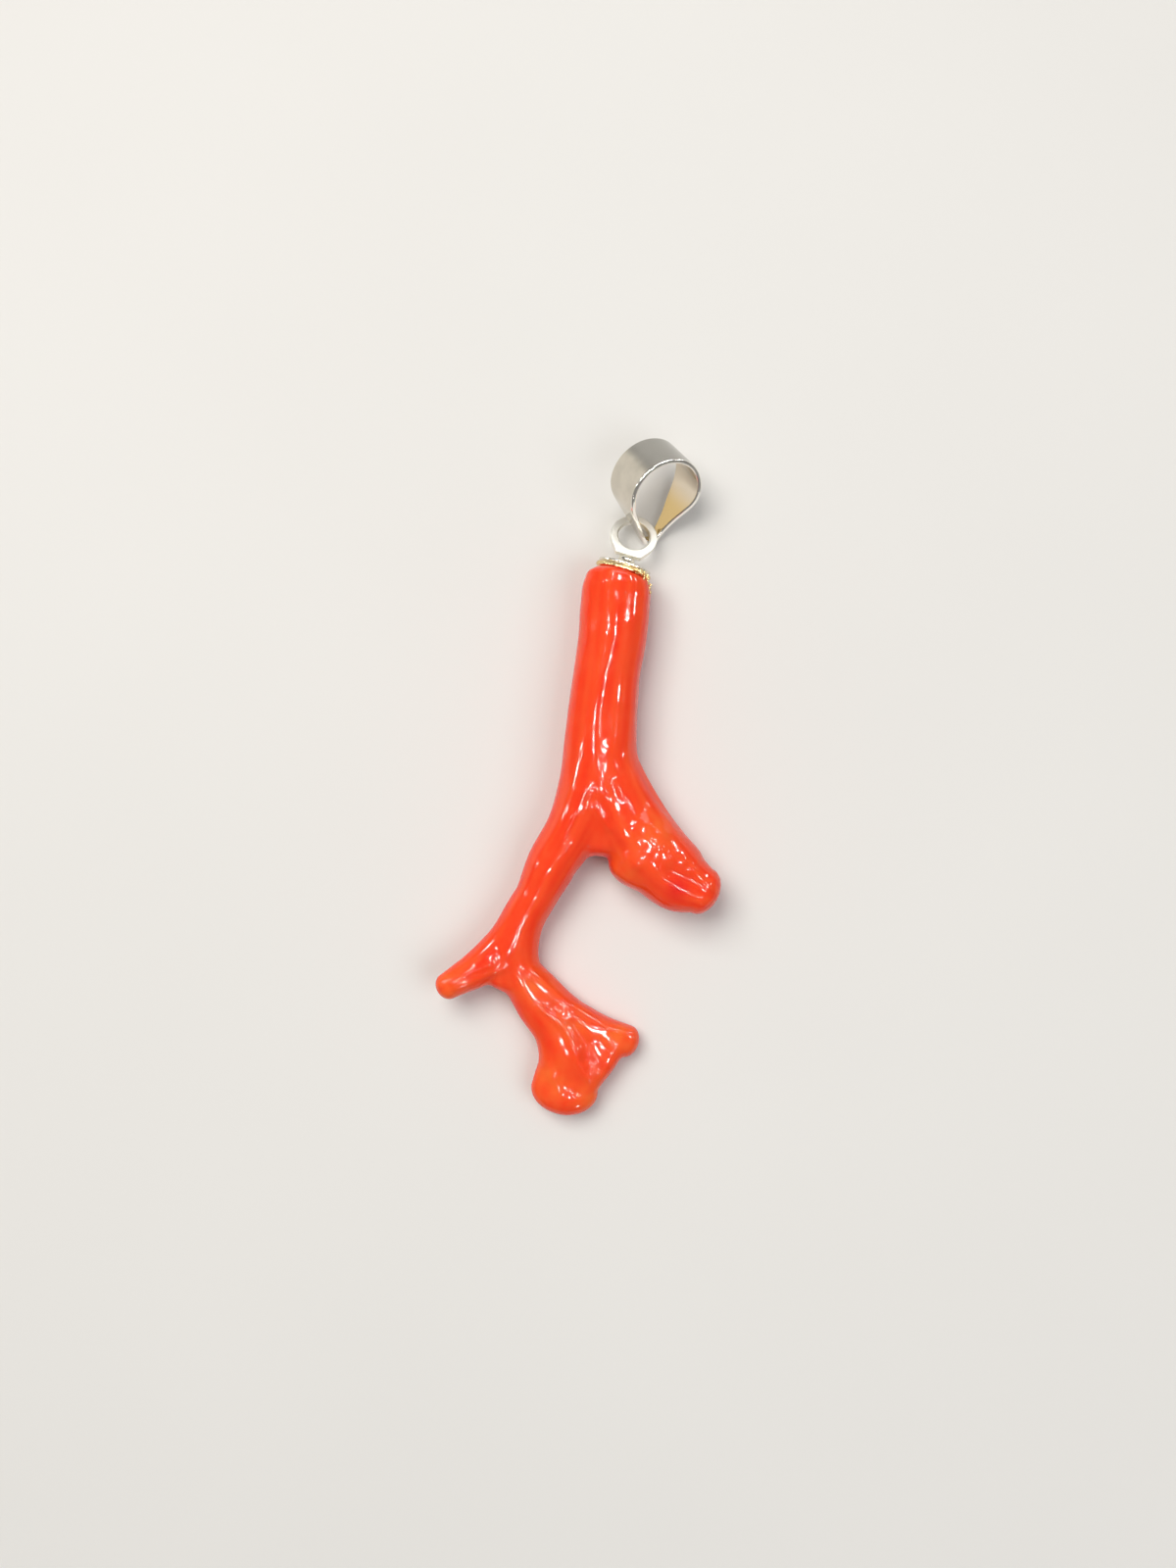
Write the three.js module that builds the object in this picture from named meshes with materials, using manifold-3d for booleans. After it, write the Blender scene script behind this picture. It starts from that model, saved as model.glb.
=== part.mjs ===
// A polished red coral branch set as a pendant: a forked branch, a metal cap glued to its cut end,
// an eye soldered to the cap, and a tapered bail that swings on the eye.
// Millimetres, +Z up. The pendant lies on the plane z = 0 with its bail towards +Y.
import * as THREE from "three";
import { LoftGeometry } from "three/addons/geometries/LoftGeometry.js";
import { mergeVertices } from "three/addons/utils/BufferGeometryUtils.js";
import Module from "manifold-3d";

const wasm = await Module();
wasm.setup();

// The coral's limbs, each a row of stations [x, y, z, half width, half depth] along its centre line.
// A limb starts inside the one it grows from, and its far end is rounded over `tip` millimetres.
const LIMBS = {
  stem: {
    tip: 0.4,
    stations: [
      [3.4, 18.5, 2.9, 0.5, 0.6],
      [3.38, 18.15, 2.9, 1.4, 1.5],
      [3.36, 17.6, 2.92, 2.38, 2.35],
      [3.32, 16.8, 2.95, 2.74, 2.64],
      [3.15, 14.6, 2.95, 2.92, 2.82],
      [2.93, 12.0, 2.92, 2.86, 2.85],
      [2.48, 9.0, 2.9, 2.8, 2.85],
      [2.13, 6.0, 2.95, 2.9, 2.9],
      [1.85, 3.2, 3.0, 3.0, 2.92],
      [0.95, -0.6, 2.95, 2.65, 2.75],
      [-0.3, -3.9, 2.8, 2.3, 2.4],
      [-2.35, -7.5, 2.6, 2.1, 2.15],
      [-3.7, -10.0, 2.35, 1.83, 1.95],
      [-4.72, -12.1, 2.15, 1.77, 1.9],
      [-5.3, -14.0, 2.05, 1.75, 1.85],
    ],
  },
  shortBranch: {
    tip: 1.5,
    stations: [
      [2.0, 5.0, 3.0, 2.6, 2.6],
      [2.75, 0.6, 3.05, 2.6, 2.7],
      [4.97, -4.5, 3.1, 3.12, 2.65],
      [6.98, -7.15, 3.2, 3.15, 2.75],
      [8.95, -8.73, 3.3, 2.65, 2.3],
      [10.38, -9.55, 3.4, 2.03, 1.95],
    ],
  },
  sideTwig: {
    tip: 0.95,
    stations: [
      [-4.9, -11.6, 2.2, 1.5, 1.6],
      [-7.0, -14.6, 2.4, 1.5, 1.5],
      [-8.65, -16.17, 2.7, 1.47, 1.4],
      [-10.0, -17.0, 2.95, 1.33, 1.25],
      [-11.12, -17.63, 3.1, 1.15, 1.1],
    ],
  },
  fanLowerLobe: {
    tip: 2.8,
    stations: [
      [-5.05, -12.6, 2.1, 1.7, 1.8],
      [-4.95, -16.3, 1.95, 1.8, 1.8],
      [-3.3, -18.95, 1.8, 2.25, 1.75],
      [-1.55, -21.6, 1.7, 2.3, 1.65],
      [-1.0, -24.4, 1.65, 2.65, 1.62],
      [-1.12, -26.1, 1.6, 2.78, 1.58],
    ],
  },
  fanSideLobe: {
    tip: 1.1,
    stations: [
      [-3.2, -18.4, 1.8, 1.3, 1.5],
      [-0.2, -20.6, 1.7, 1.5, 1.5],
      [2.3, -21.85, 1.37, 1.38, 1.35],
      [4.05, -22.35, 1.21, 1.32, 1.2],
    ],
  },
  fanWeb: {
    tip: 0.9,
    stations: [
      [-1.6, -20.0, 1.75, 1.7, 1.25],
      [0.6, -22.7, 1.65, 2.35, 1.2],
      [1.65, -24.8, 1.6, 2.4, 1.1],
    ],
  },
  hip: {
    tip: 1.0,
    stations: [
      [5.6, -5.9, 3.1, 2.0, 2.2],
      [3.9, -7.75, 3.05, 1.6, 1.9],
    ],
  },
  forkWeb: {
    tip: 1.3,
    stations: [
      [1.7, -0.5, 2.9, 2.0, 2.3],
      [1.75, -3.0, 2.9, 1.9, 2.0],
      [1.75, -5.3, 2.85, 1.75, 1.6],
    ],
  },
  twigWeb: {
    tip: 1.0,
    stations: [
      [-5.4, -13.6, 2.15, 1.4, 1.5],
      [-6.0, -15.2, 2.15, 1.3, 1.4],
      [-6.35, -17.1, 2.15, 1.35, 1.2],
    ],
  },
};
const RING_STEP = 1.1; // spacing of the rings along a limb
const RING_SIDES = 24;
const TIP_RINGS = 4;
const TIP_BLUNTNESS = 0.6; // 1 for an oval end, less for a blunter one
const TIP_FLAT = 0.5; // of a tip ring's step, left flat at the very end
const FLUTES = 8; // lengthwise ridges round a limb
const FLUTE_DEPTH = 0.025; // of the radius

// Saw cuts that part the coral at its forks: [x, y] of the middle, heading of the cut in degrees, length.
const KERF = 0.06;
const FORK_CUTS = [
  [5.0, -5.4, 29, 9],
  [-1.7, -6.7, -29, 6.2],
  [-7.9, -15.7, -70, 5.4],
  [-4.9, -16.0, 43, 6.2],
];
// A point inside each piece of the coral.
const PIECES = {
  stem: [2.4, 9.0, 2.9],
  short_branch: [7.2, -7.0, 3.2],
  long_branch: [-3.75, -10.0, 2.35],
  side_twig: [-10.0, -17.05, 2.95],
  fan_tip: [-1.7, -21.6, 1.7],
};

// The stem's cut end, and the fittings that stand on it.
const STEM_END = [3.83, 17.7, 2.6];
const FITTING_TURN = -17; // degrees about Z, of the cut end's axis from +Y
const EYE_DIP = -25; // degrees, the eye hanging from its foot
const EYE_SHOULDER = 0.9; // radians from the foot to where its sides meet the ring
const SOLDER_GAP = 0.04;
const FOOT_GAP = 0.17; // clears the dipping foot
const CAP = { flangeRadius: 2.35, flange: 0.4, domeRadius: 1.8, dome: 0.45, neckRadius: 0.62, neck: 0.3 };
const EYE = {
  outerRadius: 2.03,
  holeRadius: 1.36,
  foot: 1.98, // the ring's centre above its foot
  footHalfWidth: 1.1,
  thickness: 0.6,
  edge: 0.14,
};

// The bail: a strip bent into a teardrop, wide where a chain runs and narrow where it grips the eye.
const BAIL = {
  thickness: 0.42,
  topRadius: 3.35, // outside, at the chain
  toeRadius: 0.95, // outside, at the eye
  height: 9.0,
  pivotAboveToe: 0.85, // the eye's wire above the toe's centre
  halfWidth: 2.0,
  toeHalfWidth: 0.42,
  toeEase: 2.0, // how far the narrow part runs up from the toe
  topEase: 2.5, // how far the wide part runs down from the top
};
const BAIL_AT = [6.18, 21.82, 1.5]; // where the eye's wire passes through the bail
const BAIL_POSE = { turn: -7.6, lift: 37.5, roll: -59 }; // degrees, as it lies

const ARC_SIDES = 12; // segments of a half turn on the cap and the eye
const BAIL_SIDES = 8; // segments of each curve on the bail
const PROFILE_SIDES = 4; // segments of each curve on the cap's profile
const EDGE_SIDES = 2; // segments of the eye's rounded edge
const WELD = 1e-4; // corners closer than this are one
const PROBE_RADIUS = 0.2; // of the marker that finds a coral piece
const SLIVER = 0.03; // facets thinner than this are merged
const CUTTER = 40; // larger than anything it cuts
const UP = new THREE.Vector3(0, 0, 1);

const coralMaterial = new THREE.MeshStandardMaterial({ color: 0xf0371a, roughness: 0.15, metalness: 0 });
const silverMaterial = new THREE.MeshStandardMaterial({ color: 0xd8d2c4, roughness: 0.18, metalness: 1 });

// A closed geometry as a solid that can be joined and cut.
function solidOf(geometry) {
  const bare = new THREE.BufferGeometry();
  bare.setAttribute("position", geometry.getAttribute("position"));
  if (geometry.index) bare.setIndex(geometry.index);
  const merged = mergeVertices(bare, WELD);
  const vertProperties = new Float32Array(merged.attributes.position.array);
  const triVerts = new Uint32Array(merged.index.array);
  return new wasm.Manifold(new wasm.Mesh({ numProp: 3, vertProperties, triVerts }));
}

function geometryOf(solid) {
  const mesh = solid.getMesh();
  const geometry = new THREE.BufferGeometry();
  geometry.setAttribute("position", new THREE.BufferAttribute(mesh.vertProperties, 3));
  geometry.setIndex(new THREE.BufferAttribute(mesh.triVerts, 1));
  geometry.computeVertexNormals();
  return geometry;
}

function named(name, geometry, material) {
  const mesh = new THREE.Mesh(geometry, material.clone());
  mesh.name = name;
  return mesh;
}

// One limb as a closed skin of fluted oval rings along a smooth curve through its stations.
function limb({ stations, tip }) {
  const path = new THREE.CatmullRomCurve3(stations.map(([x, y, z]) => new THREE.Vector3(x, y, z)));
  const girth = new THREE.CatmullRomCurve3(stations.map(([, , , w, d]) => new THREE.Vector3(w, d, 0)));
  const ring = (t, ahead, shrink) => {
    const tangent = path.getTangent(t);
    const side = new THREE.Vector3().crossVectors(UP, tangent).normalize();
    const rise = new THREE.Vector3().crossVectors(tangent, side);
    const centre = path.getPoint(t).addScaledVector(tangent, ahead);
    const { x: halfWidth, y: halfDepth } = girth.getPoint(t);
    return Array.from({ length: RING_SIDES }, (_, j) => {
      const angle = (j / RING_SIDES) * 2 * Math.PI;
      const size = shrink * (1 + FLUTE_DEPTH * Math.cos(FLUTES * angle));
      const point = centre.clone().addScaledVector(side, halfWidth * size * Math.cos(angle));
      return point.addScaledVector(rise, halfDepth * size * Math.sin(angle));
    });
  };

  const steps = Math.ceil(path.getLength() / RING_STEP);
  const rings = [];
  for (let i = 0; i <= steps; i++) {
    rings.push(ring(i / steps, 0, 1));
  }
  for (let k = 1; k <= TIP_RINGS; k++) {
    const angle = (k / (TIP_RINGS + TIP_FLAT)) * (Math.PI / 2);
    rings.push(ring(1, tip * Math.sin(angle), Math.cos(angle) ** TIP_BLUNTNESS));
  }
  return solidOf(new LoftGeometry(rings, { capStart: true, capEnd: true }));
}

// A thin upright slab, the saw cut across one fork.
function forkCut([x, y, heading, length]) {
  const slab = new THREE.BoxGeometry(length, KERF, CUTTER);
  slab.rotateZ(THREE.MathUtils.degToRad(heading));
  slab.translate(x, y, 0);
  return solidOf(slab);
}

// Everything beyond the stem's cut end.
function stemEndCutter() {
  const block = new THREE.BoxGeometry(CUTTER, CUTTER, CUTTER);
  block.translate(0, CUTTER / 2 - SOLDER_GAP, 0);
  block.rotateZ(THREE.MathUtils.degToRad(FITTING_TURN));
  block.translate(...STEM_END);
  return solidOf(block);
}

// The whole branch, sawn into its pieces at the forks.
function coralPieces() {
  let branch = Object.values(LIMBS)
    .map(limb)
    .reduce((joined, next) => joined.add(next));
  branch = branch.subtract(stemEndCutter());
  for (const cut of FORK_CUTS) {
    branch = branch.subtract(forkCut(cut));
  }
  const bodies = branch.simplify(SLIVER).decompose();
  return Object.entries(PIECES).map(([name, inside]) => {
    const probe = new THREE.SphereGeometry(PROBE_RADIUS).translate(...inside);
    const body = bodies.find((candidate) => !candidate.intersect(solidOf(probe)).isEmpty());
    return named(name, geometryOf(body), coralMaterial);
  });
}

// The cap turned about +Y: a flange on the coral, a low dome and the neck under the eye.
function cap() {
  const { flangeRadius, flange, domeRadius, dome, neckRadius, neck } = CAP;
  const profile = new THREE.Path();
  const edge = flange / 2;
  profile.moveTo(0, 0);
  profile.lineTo(flangeRadius - edge, 0);
  profile.absarc(flangeRadius - edge, edge, edge, -Math.PI / 2, Math.PI / 2, false);
  profile.lineTo(domeRadius, flange);
  profile.quadraticCurveTo(domeRadius, flange + dome, neckRadius, flange + dome);
  profile.lineTo(neckRadius, flange + dome + neck);
  profile.lineTo(0, flange + dome + neck);
  const points = profile.getPoints(PROFILE_SIDES);
  return named("end_cap", new THREE.LatheGeometry(points, 3 * ARC_SIDES), silverMaterial);
}

// The eye: a bevelled ring with a straight foot, lying flat with the foot's middle at the origin.
function eye() {
  const { outerRadius, holeRadius, foot, footHalfWidth, thickness, edge } = EYE;
  const outer = outerRadius - edge;
  const outline = new THREE.Shape();
  outline.absarc(0, foot, outer, -Math.PI / 2 + EYE_SHOULDER, (3 * Math.PI) / 2 - EYE_SHOULDER, false);
  outline.lineTo(-footHalfWidth + edge, edge);
  outline.lineTo(footHalfWidth - edge, edge);
  outline.closePath();
  outline.holes.push(new THREE.Path().absarc(0, foot, holeRadius + edge, 0, 2 * Math.PI, true));
  const ring = new THREE.ExtrudeGeometry(outline, {
    depth: thickness - 2 * edge,
    bevelThickness: edge,
    bevelSize: edge,
    bevelSegments: EDGE_SIDES,
    curveSegments: 2 * ARC_SIDES,
  });
  ring.translate(0, 0, edge - thickness / 2);
  return named("eye", geometryOf(solidOf(ring)), silverMaterial);
}

// A teardrop round two circles on the Y axis, drawn in X and Y.
function teardrop(topRadius, toeRadius, topY, toeY) {
  const slope = Math.asin((topRadius - toeRadius) / (topY - toeY));
  const shape = new THREE.Shape();
  shape.absarc(0, topY, topRadius, -slope, Math.PI + slope, false);
  shape.absarc(0, toeY, toeRadius, Math.PI + slope, 2 * Math.PI - slope, false);
  shape.closePath();
  return shape;
}

// The bail with the eye's wire at its origin, its height along +Y and its opening along X.
function bail() {
  const { thickness, topRadius, toeRadius, height, pivotAboveToe } = BAIL;
  const { halfWidth, toeHalfWidth, toeEase, topEase } = BAIL;
  const toeY = -pivotAboveToe;
  const topY = toeY - toeRadius + height - topRadius;
  const band = teardrop(topRadius, toeRadius, topY, toeY);
  band.holes.push(teardrop(topRadius - thickness, toeRadius - thickness, topY, toeY));
  const squareEdged = { bevelEnabled: false, curveSegments: BAIL_SIDES };
  const loop = new THREE.ExtrudeGeometry(band, { ...squareEdged, depth: 2 * halfWidth });
  loop.translate(0, 0, -halfWidth);
  loop.rotateY(Math.PI / 2);

  const low = toeY - toeRadius - thickness;
  const high = topY + topRadius + thickness;
  const taper = new THREE.Shape();
  taper.moveTo(-toeHalfWidth, low);
  taper.lineTo(toeHalfWidth, low);
  taper.bezierCurveTo(toeHalfWidth, toeY + toeEase, halfWidth, topY - topEase, halfWidth, topY);
  taper.lineTo(halfWidth, high);
  taper.lineTo(-halfWidth, high);
  taper.lineTo(-halfWidth, topY);
  taper.bezierCurveTo(-halfWidth, topY - topEase, -toeHalfWidth, toeY + toeEase, -toeHalfWidth, low);
  const blank = new THREE.ExtrudeGeometry(taper, { ...squareEdged, depth: CUTTER });
  blank.translate(0, 0, -CUTTER / 2);
  return named("bail", geometryOf(solidOf(loop).intersect(solidOf(blank))), silverMaterial);
}

const pendant = new THREE.Group();
pendant.add(...coralPieces());

const fittings = new THREE.Group();
fittings.position.set(...STEM_END);
fittings.rotation.z = THREE.MathUtils.degToRad(FITTING_TURN);
pendant.add(fittings);
fittings.add(cap());
const ring = eye();
ring.position.y = CAP.flange + CAP.dome + CAP.neck + FOOT_GAP;
ring.rotation.x = THREE.MathUtils.degToRad(EYE_DIP);
fittings.add(ring);

const loop = bail();
loop.position.set(...BAIL_AT);
loop.rotation.order = "ZXY";
loop.rotation.set(
  THREE.MathUtils.degToRad(BAIL_POSE.lift),
  THREE.MathUtils.degToRad(BAIL_POSE.roll),
  THREE.MathUtils.degToRad(BAIL_POSE.turn),
);
pendant.add(loop);

// The origin is the middle of the pendant's footprint, on the plane it lies on.
const extent = new THREE.Box3().setFromObject(pendant, true);
const middle = extent.getCenter(new THREE.Vector3());
pendant.position.set(-middle.x, -middle.y, -extent.min.z);

export default pendant;
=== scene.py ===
"""Looks of a polished red coral branch worn as a pendant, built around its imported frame.

Shapes are worked out in millimetres in the frame's axes and written to Blender in metres.
"""
import math

import bmesh
import bpy
import numpy as np
from mathutils import Matrix, Vector


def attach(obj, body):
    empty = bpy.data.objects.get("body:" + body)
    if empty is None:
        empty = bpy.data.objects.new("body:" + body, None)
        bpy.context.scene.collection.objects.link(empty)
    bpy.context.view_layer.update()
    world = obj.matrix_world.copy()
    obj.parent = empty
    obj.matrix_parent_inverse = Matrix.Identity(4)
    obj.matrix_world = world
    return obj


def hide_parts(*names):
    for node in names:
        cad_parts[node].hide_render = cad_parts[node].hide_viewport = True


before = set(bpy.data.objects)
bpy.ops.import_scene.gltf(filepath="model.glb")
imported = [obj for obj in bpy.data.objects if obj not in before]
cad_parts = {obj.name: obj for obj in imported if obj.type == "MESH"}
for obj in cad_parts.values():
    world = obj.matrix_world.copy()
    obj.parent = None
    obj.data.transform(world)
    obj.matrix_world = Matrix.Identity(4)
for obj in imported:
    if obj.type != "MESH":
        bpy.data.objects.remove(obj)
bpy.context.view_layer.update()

MM = 0.001
SEED = 11
UP = np.array([0.0, 0.0, 1.0])

# Where the branch's own origin lies in the frame.
BRANCH_ORIGIN = np.array([0.0129, 0.0928, 0.0236])

# The coral's limbs, each a row of stations (x, y, z, half width, half depth) from its root to its end,
# and the length over which that end is rounded.
LIMBS = {
    "stem": (0.4, [
        (3.4, 18.5, 2.9, 0.5, 0.6), (3.38, 18.15, 2.9, 1.4, 1.5), (3.36, 17.6, 2.92, 2.38, 2.35),
        (3.3, 16.8, 2.95, 2.77, 2.64), (3.13, 14.6, 2.95, 2.97, 2.82), (2.9, 12.0, 2.92, 2.92, 2.85),
        (2.46, 9.0, 2.9, 2.86, 2.85), (2.12, 6.0, 2.95, 2.95, 2.9), (1.85, 3.2, 3.0, 3.02, 2.92),
        (0.95, -0.6, 2.95, 2.65, 2.75), (-0.3, -3.9, 2.8, 2.3, 2.4), (-2.37, -7.5, 2.6, 2.15, 2.15),
        (-3.6, -10.0, 2.35, 1.82, 1.95), (-4.72, -12.1, 2.15, 1.77, 1.9), (-5.2, -14.0, 2.05, 1.55, 1.6),
        (-5.1, -15.8, 1.95, 1.1, 1.1), (-4.8, -17.2, 1.9, 0.6, 0.6)]),
    "short_branch": (1.5, [
        (1.95, 7.0, 3.0, 1.3, 1.3), (2.15, 3.6, 3.0, 2.1, 2.15), (2.75, 0.6, 3.05, 2.6, 2.65),
        (4.97, -4.5, 3.1, 3.12, 2.65), (7.02, -7.1, 3.2, 3.1, 2.75), (8.99, -8.75, 3.3, 2.76, 2.3),
        (10.48, -9.5, 3.4, 2.08, 1.95)]),
    "side_twig": (0.95, [
        (-4.2, -10.6, 2.25, 0.9, 1.0), (-5.5, -12.7, 2.25, 1.35, 1.4), (-7.0, -14.6, 2.4, 1.5, 1.5),
        (-8.65, -16.25, 2.7, 1.55, 1.4), (-10.0, -17.0, 2.95, 1.33, 1.25),
        (-11.12, -17.63, 3.1, 1.15, 1.1)]),
    "fan_lower_lobe": (2.2, [
        (-4.3, -10.6, 2.2, 1.0, 1.1), (-5.17, -13.6, 2.08, 1.66, 1.75), (-4.95, -16.3, 1.95, 1.8, 1.8),
        (-3.3, -18.95, 1.8, 2.25, 1.75), (-1.55, -21.6, 1.7, 2.3, 1.65), (-0.82, -24.4, 1.65, 2.64, 1.62),
        (-1.18, -26.65, 1.6, 2.88, 1.5)]),
    "fan_side_lobe": (1.1, [
        (-3.6, -17.9, 1.8, 0.9, 1.0), (-0.2, -20.6, 1.7, 1.5, 1.5), (2.3, -21.85, 1.37, 1.38, 1.35),
        (4.1, -22.57, 1.21, 1.42, 1.2)]),
    "fan_web": (1.05, [
        (-1.9, -19.9, 1.75, 1.2, 0.9), (-0.1, -23.0, 1.65, 2.4, 1.4), (1.97, -24.6, 1.6, 2.78, 1.3)]),
    "hip": (1.0, [
        (5.8, -5.5, 3.1, 1.6, 1.7), (4.15, -8.0, 3.05, 1.7, 1.9)]),
    "fork_web": (1.3, [
        (1.6, 1.0, 2.9, 1.3, 1.5), (1.75, -3.0, 2.9, 1.9, 2.0), (1.75, -5.3, 2.85, 1.75, 1.6)]),
    "twig_web": (1.0, [
        (-5.2, -13.0, 2.15, 0.9, 1.0), (-6.0, -15.2, 2.15, 1.3, 1.4), (-6.35, -17.1, 2.15, 1.35, 1.2)]),
}
LINE_STEP = 0.15  # spacing of the points that stand for a limb's centre line
ROOT_ROUND = 0.8  # rounding of a limb's buried end
FORK_FILLET = 0.85  # rounding where limbs meet
NET_STEP = 0.17  # size of the coral's faces

# Lengthwise ridges: how many stand round the thickest limb, and their height as a share of its radius.
RIDGES = ((3, 0.006), (7, 0.016), (11, 0.010), (17, 0.003))
RIDGE_RADIUS = 2.9
# Growth lines in the colour: how many round the thickest limb, and their strength.
GROWTH_LINES = ((9, 0.45), (16, 0.35), (27, 0.2))
RIDGE_SWAY = 2.0  # how far ridges and growth lines wander round a limb, in radians of their own wave
RIDGE_DRIFT = 0.10  # radians of that wander per millimetre along the limb
RIDGE_SWELL = (0.65, 0.35, 0.55)  # their mean strength, how much it varies, and its radians per millimetre
RIDGE_FADE = 2.2  # millimetres over which ridges die away at a tip

# Round arches under the forks: (x, y, radius) of upright bores.
ARCHES = ((1.58, -7.6, 0.7), (1.1, -8.85, 1.4), (-7.7, -19.5, 1.35))
ARCH_ROUND = 0.5  # rounding of their edges

# Low forms on the upper side: (reach, height, points (x, y) along it). A negative height sinks in.
RELIEF = (
    # the short branch: its knob with small ones round it, the hip, and the scoop at the end with its lip
    (1.7, 0.30, ((6.2, -4.6),)), (0.55, 0.12, ((5.75, -3.7),)), (0.5, 0.10, ((7.1, -4.55),)),
    (0.5, 0.12, ((4.85, -5.05),)), (0.45, 0.10, ((7.0, -5.7),)), (0.45, 0.08, ((3.85, -4.95),)),
    (0.4, 0.07, ((8.1, -6.3),)), (0.35, 0.07, ((8.9, -6.85),)),
    (1.0, 0.30, ((4.3, -7.1),)), (0.4, 0.12, ((4.9, -7.3),)), (0.4, 0.10, ((3.9, -6.6),)),
    (0.75, -0.28, ((7.9, -7.8), (10.9, -9.4))), (0.3, 0.12, ((9.7, -7.55), (11.0, -9.25))),
    # the fan: ridges, the furrow between its lobes, and pits
    (0.4, 0.15, ((-3.9, -16.5), (-2.4, -17.8), (-0.8, -19.2))),
    (0.35, 0.16, ((-3.1, -19.5), (-1.1, -21.1), (-0.2, -23.0), (0.0, -24.0), (0.9, -25.5))),
    (0.5, -0.18, ((-0.4, -20.9), (0.6, -22.6), (0.8, -23.8))), (0.5, -0.15, ((-2.0, -19.5),)),
    (0.3, -0.10, ((0.5, -23.9),)), (0.3, -0.12, ((1.2, -24.2),)), (0.28, -0.10, ((1.7, -24.7),)),
    (0.28, -0.10, ((0.9, -24.8),)), (0.3, -0.10, ((-0.15, -26.8),)),
    (0.35, 0.10, ((-0.1, -19.3), (1.3, -20.3), (2.5, -21.2), (4.2, -21.6))),
    (0.35, 0.08, ((-2.6, -24.3), (-2.2, -25.5))), (1.5, -0.24, ((-1.0, -26.1),)),
    (0.3, 0.06, ((-2.0, -25.3), (-1.6, -26.6))),
    # the side twig's two ridges
    (0.3, 0.10, ((-10.6, -17.2), (-8.9, -16.2), (-7.4, -15.8))),
    (0.3, 0.10, ((-10.3, -17.7), (-8.65, -16.95), (-6.2, -16.05))),
    # growth lines that run down over the fork
    (0.3, 0.10, ((-0.25, -3.1), (-1.25, -5.0))), (0.3, 0.10, ((1.5, -2.5), (2.6, -4.2))),
    (0.25, 0.08, ((3.2, -0.4), (3.7, -1.5))), (0.18, 0.05, ((1.0, -0.4), (0.2, -3.0))),
    (0.18, 0.05, ((0.55, -1.0), (-0.5, -3.6))), (0.18, 0.05, ((1.3, -0.8), (0.75, -2.6))))
UPPER_SIDE = (0.15, 0.6)  # shares of a limb's half depth above its middle between which the relief comes in
RELIEF_BAND = 1.0  # distance from the surface within which low forms are worked out
SWELLS = ((0.03, 1.0), (0.010, 2.0))  # slow unevenness all round: (height, radians per millimetre)
SWELL_BELOW = 0.4  # share of that unevenness on the underside
SWELL_SKEW = (0.8, 0.9)  # keeps its waves along y and z from falling in step

# Colour zones on the coral: (x, y, z, reach).
WARM_ZONES = (
    (6.3, -4.5, 5.3, 1.6), (4.3, -7.2, 4.2, 1.5), (-10.9, -17.5, 3.2, 1.7), (-3.5, -17.8, 3.2, 1.8),
    (-0.6, -20.9, 3.0, 1.6), (-2.4, -25.5, 2.7, 1.9), (0.9, -27.0, 2.3, 1.5), (3.2, -21.8, 2.3, 1.7))
# Painted shade: a deeper red in the crotches, in recesses and along the branches' lower edges.
CREASE_SHADE_ZONES = (
    (2.2, -6.3, 2.6, 1.5), (4.4, -9.2, 2.4, 1.4), (7.3, -11.2, 2.6, 1.6), (-6.2, -16.6, 1.9, 1.2),
    (-4.9, -19.2, 1.7, 1.3), (-0.8, -9.0, 2.2, 1.3), (8.3, -9.2, 5.3, 1.0))
SIDE_SHADE_FACING = (-0.6, 0.1)  # from facing this far up to this far down, the coral's sides and underside get painted shade, a deeper red
STREAK_BLEND = 0.25  # distance over which one limb's growth lines give way to another's


def through(rows, step):
    """Points evenly along a smooth curve through the rows, whose first three columns are x, y and z."""
    rows = np.array(rows, float)
    gaps = np.linalg.norm(np.diff(rows[:, :3], axis=0), axis=1)
    at = np.concatenate([[0.0], np.cumsum(gaps)])
    slopes = np.gradient(rows, at, axis=0)
    along = np.linspace(0, at[-1], math.ceil(at[-1] / step) + 1)
    i = np.clip(np.searchsorted(at, along, side="right") - 1, 0, len(gaps) - 1)
    span = gaps[i][:, None]
    t = (along - at[i])[:, None] / span
    start, end = rows[i] * (1 + 2 * t) * (1 - t) ** 2, rows[i + 1] * t * t * (3 - 2 * t)
    return start + end + span * (slopes[i] * t * (1 - t) ** 2 + slopes[i + 1] * t * t * (t - 1))


def unit(rows):
    """Each row at length 1."""
    return rows / np.linalg.norm(rows, axis=-1, keepdims=True)


def smooth_step(value, low, high):
    """A smooth rise from 0 at low to 1 at high."""
    t = np.clip((value - low) / (high - low), 0, 1)
    return t * t * (3 - 2 * t)


def smooth_min(a, b, blend):
    """The lesser of two fields, rounded where they are within the blend of each other."""
    overlap = np.maximum(blend - np.abs(a - b), 0) / blend
    return np.minimum(a, b) - overlap * overlap * blend / 4


def smooth_max(a, b, blend):
    """The greater of two fields, rounded in the same way."""
    return -smooth_min(-a, -b, blend)


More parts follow.
